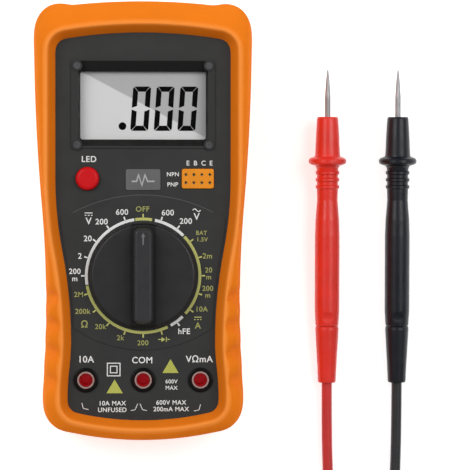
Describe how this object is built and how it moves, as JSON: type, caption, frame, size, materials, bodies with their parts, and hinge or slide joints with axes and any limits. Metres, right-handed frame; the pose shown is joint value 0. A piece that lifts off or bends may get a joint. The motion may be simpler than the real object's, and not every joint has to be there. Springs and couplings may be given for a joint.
{
  "type": "digital multimeter",
  "caption": "Hand-held digital multimeter in an orange rubber holster, with a rotary range selector, round input jacks, a display and a pair of coiled test leads.",
  "frame": {"origin": "on the plane that the holster's back rests on, under the middle of the meter", "axes": "+Z out of the meter's face, +Y towards the display end of the meter, +X to the meter's right, where the test leads lie"},
  "size_m": [0.1734, 0.2172, 0.0476],
  "materials": {
    "holster_rubber": "soft satin orange rubber",
    "stand_plastic": "fine grained",
    "case_plastic": "fine moulded texture",
    "screw_steel": "zinc plated",
    "dark_screw": "black oxide",
    "clear_window": "clear polished",
    "display_glass": "silver grey liquid crystal",
    "diffuser_plastic": "milky",
    "led_plastic": "moulded",
    "zebra_rubber": "striped silicone",
    "holder_plastic": "moulded",
    "knob_plastic": "satin black",
    "rotor_plastic": "moulded",
    "contact_brass": "spring brass",
    "spring_steel": "bright wire",
    "button_red": "satin red",
    "switch_plastic": "moulded",
    "socket_orange": "moulded orange",
    "plate_grey": "printed film",
    "collar_black": "polished black",
    "rim_metal": "tinned",
    "throat_red": "dark red moulding",
    "sleeve_brass": "turned",
    "board_green": "solder mask on glass fibre",
    "chip_black": "epoxy",
    "capacitor_sleeve": "shrunk sleeve",
    "resistor_body": "lacquered",
    "fuse_glass": "clear tube",
    "fuse_cap_metal": "nickel plated",
    "shunt_metal": "bare alloy wire",
    "battery_metal": "printed steel can",
    "snap_plastic": "soft vinyl",
    "wire_insulation": "vinyl insulation",
    "probe_metal": "nickel plated",
    "tie_plastic": "vinyl strap",
    "red_probe_plastic": "satin moulded",
    "red_cord_rubber": "soft vinyl",
    "black_probe_plastic": "satin moulded",
    "black_cord_rubber": "soft vinyl"
  },
  "bodies": {
    "root": {"backlight_diffuser": "diffuser_plastic", "backlight_leds": "led_plastic", "battery_9v": "battery_metal", "battery_door": "case_plastic", "battery_snap": "snap_plastic", "battery_wires": "wire_insulation", "bezel_screws": "dark_screw", "board_screws": "screw_steel", "button_spring": "spring_steel", "buzzer": "contact_brass", "capacitors": "capacitor_sleeve", "case_screws": "screw_steel", "circuit_board": "board_green", "converter_chip": "chip_black", "front_case": "case_plastic", "fuse_caps": "fuse_cap_metal", "fuse_clips": "contact_brass", "fuse_tube": "fuse_glass", "hfe_contacts": "contact_brass", "hfe_socket": "socket_orange", "holster": "holster_rubber", "jack_collars": "collar_black", "jack_rims": "rim_metal", "jack_sleeves": "sleeve_brass", "jack_throats": "throat_red", "lcd_bezel": "case_plastic", "lcd_glass": "display_glass", "lcd_holder": "holder_plastic", "lcd_lens": "clear_window", "name_plate": "plate_grey", "rear_case": "case_plastic", "resistors": "resistor_body", "shunt_wire": "shunt_metal", "switch_body": "switch_plastic", "zebra_strips": "zebra_rubber"},
    "kickstand": {"kickstand": "stand_plastic"},
    "selector": {"selector_knob": "knob_plastic", "selector_rotor": "rotor_plastic", "rotor_contacts": "contact_brass", "detent_balls": "spring_steel", "detent_springs": "spring_steel", "selector_screw": "screw_steel"},
    "backlight_button": {"button_cap": "button_red", "switch_plunger": "switch_plastic"},
    "red_lead": {"red_coil": "red_cord_rubber", "red_coil_tie": "tie_plastic", "red_cord": "red_cord_rubber", "red_plug_body": "red_probe_plastic", "red_plug_pin": "probe_metal", "red_probe_boot": "red_probe_plastic", "red_probe_handle": "red_probe_plastic", "red_probe_tip": "probe_metal"},
    "black_lead": {"black_coil": "black_cord_rubber", "black_coil_tie": "tie_plastic", "black_cord": "black_cord_rubber", "black_plug_body": "black_probe_plastic", "black_plug_pin": "probe_metal", "black_probe_boot": "black_probe_plastic", "black_probe_handle": "black_probe_plastic", "black_probe_tip": "probe_metal"}
  },
  "joints": [
    {"name": "kickstand_hinge", "type": "hinge", "parent": "root", "child": "kickstand", "pos_m": [0, -0.01, 0.0021], "axis": [1, 0, 0], "range_deg": [0, 65]},
    {"name": "selector_turn", "type": "hinge", "parent": "root", "child": "selector", "pos_m": [0, -0.0183, 0.036], "axis": [0, 0, 1], "continuous": true},
    {"name": "button_press", "type": "slide", "parent": "root", "child": "backlight_button", "axis": [0, 0, -1], "range_m": [0, 0.0012], "stiffness_N_per_m": 400, "deforming": ["button_spring"]},
    {"name": "red_lead_lift", "type": "slide", "parent": "root", "child": "red_lead", "axis": [0, 0, 1], "range_m": [0, 0.05]},
    {"name": "black_lead_lift", "type": "slide", "parent": "root", "child": "black_lead", "axis": [0, 0, 1], "range_m": [0, 0.05]}
  ]
}
